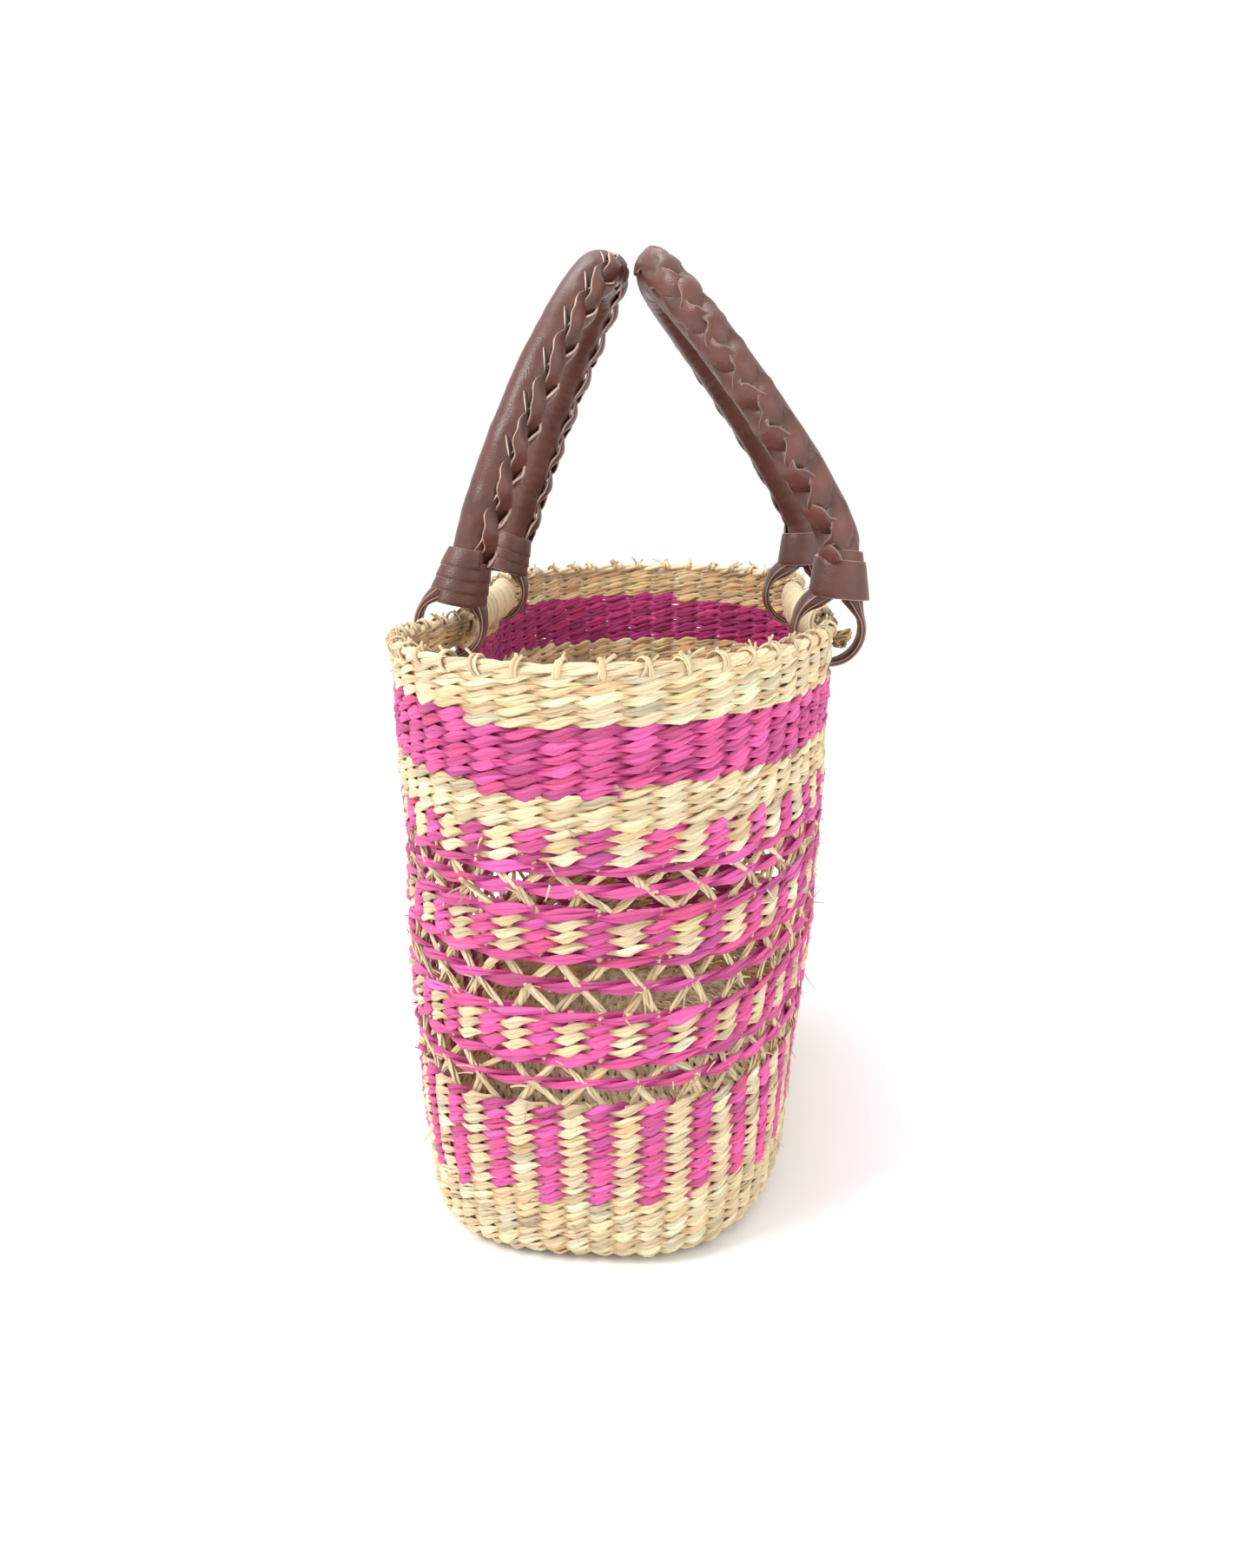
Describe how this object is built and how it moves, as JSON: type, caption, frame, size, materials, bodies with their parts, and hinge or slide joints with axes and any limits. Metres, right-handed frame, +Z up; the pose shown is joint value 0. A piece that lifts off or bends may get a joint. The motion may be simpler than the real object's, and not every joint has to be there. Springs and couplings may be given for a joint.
{
  "type": "woven market basket",
  "caption": "Oval twined seagrass basket with striped and checked bands, open crossed-stake bands and two swinging leather-wrapped handles.",
  "frame": {"origin": "middle of the base's underside, on the floor", "axes": "+Z up, out of the mouth; +X along the long side; the front handle is on the -Y side and the back handle on the +Y side"},
  "size_m": [0.4206, 0.2145, 0.4295],
  "materials": {
    "base_mat": "matte",
    "foot_band": "matte",
    "lower_check_band": "matte",
    "low_openwork": "matte",
    "low_check_band": "matte",
    "middle_openwork": "matte",
    "high_check_band": "matte",
    "high_openwork": "matte",
    "upper_check_band": "matte",
    "upper_natural_band": "matte",
    "pink_band": "matte",
    "rim_band": "matte",
    "rim_border": "matte",
    "front_rim_binding": "matte",
    "back_rim_binding": "matte",
    "front_right_tuft": "matte",
    "front_left_tuft": "matte",
    "back_right_tuft": "matte",
    "back_left_tuft": "matte",
    "front_handle_cover": "satin",
    "front_handle_core": "matte",
    "front_handle_braid": "satin",
    "front_handle_right_collar": "satin",
    "front_handle_left_collar": "satin",
    "front_handle_right_strap": "satin",
    "front_handle_left_strap": "satin",
    "back_handle_cover": "satin",
    "back_handle_core": "matte",
    "back_handle_braid": "satin",
    "back_handle_right_collar": "satin",
    "back_handle_left_collar": "satin",
    "back_handle_right_strap": "satin",
    "back_handle_left_strap": "satin"
  },
  "bodies": {
    "basket": {"base_mat": "base_mat", "foot_band": "foot_band", "lower_check_band": "lower_check_band", "low_openwork": "low_openwork", "low_check_band": "low_check_band", "middle_openwork": "middle_openwork", "high_check_band": "high_check_band", "high_openwork": "high_openwork", "upper_check_band": "upper_check_band", "upper_natural_band": "upper_natural_band", "pink_band": "pink_band", "rim_band": "rim_band", "rim_border": "rim_border", "front_rim_binding": "front_rim_binding", "back_rim_binding": "back_rim_binding", "front_right_tuft": "front_right_tuft", "front_left_tuft": "front_left_tuft", "back_right_tuft": "back_right_tuft", "back_left_tuft": "back_left_tuft"},
    "front_handle": {"front_handle_cover": "front_handle_cover", "front_handle_core": "front_handle_core", "front_handle_braid": "front_handle_braid", "front_handle_right_collar": "front_handle_right_collar", "front_handle_left_collar": "front_handle_left_collar", "front_handle_right_strap": "front_handle_right_strap", "front_handle_left_strap": "front_handle_left_strap"},
    "back_handle": {"back_handle_cover": "back_handle_cover", "back_handle_core": "back_handle_core", "back_handle_braid": "back_handle_braid", "back_handle_right_collar": "back_handle_right_collar", "back_handle_left_collar": "back_handle_left_collar", "back_handle_right_strap": "back_handle_right_strap", "back_handle_left_strap": "back_handle_left_strap"}
  },
  "joints": [
    {"name": "front_handle_swing", "type": "hinge", "parent": "basket", "child": "front_handle", "pos_m": [0, -0.07609, 0.26], "axis": [0.9985, 0.0555, 0], "range_deg": [0, 95]},
    {"name": "back_handle_swing", "type": "hinge", "parent": "basket", "child": "back_handle", "pos_m": [0, 0.09053, 0.26], "axis": [-0.9938, -0.1115, 0], "range_deg": [0, 95]}
  ]
}
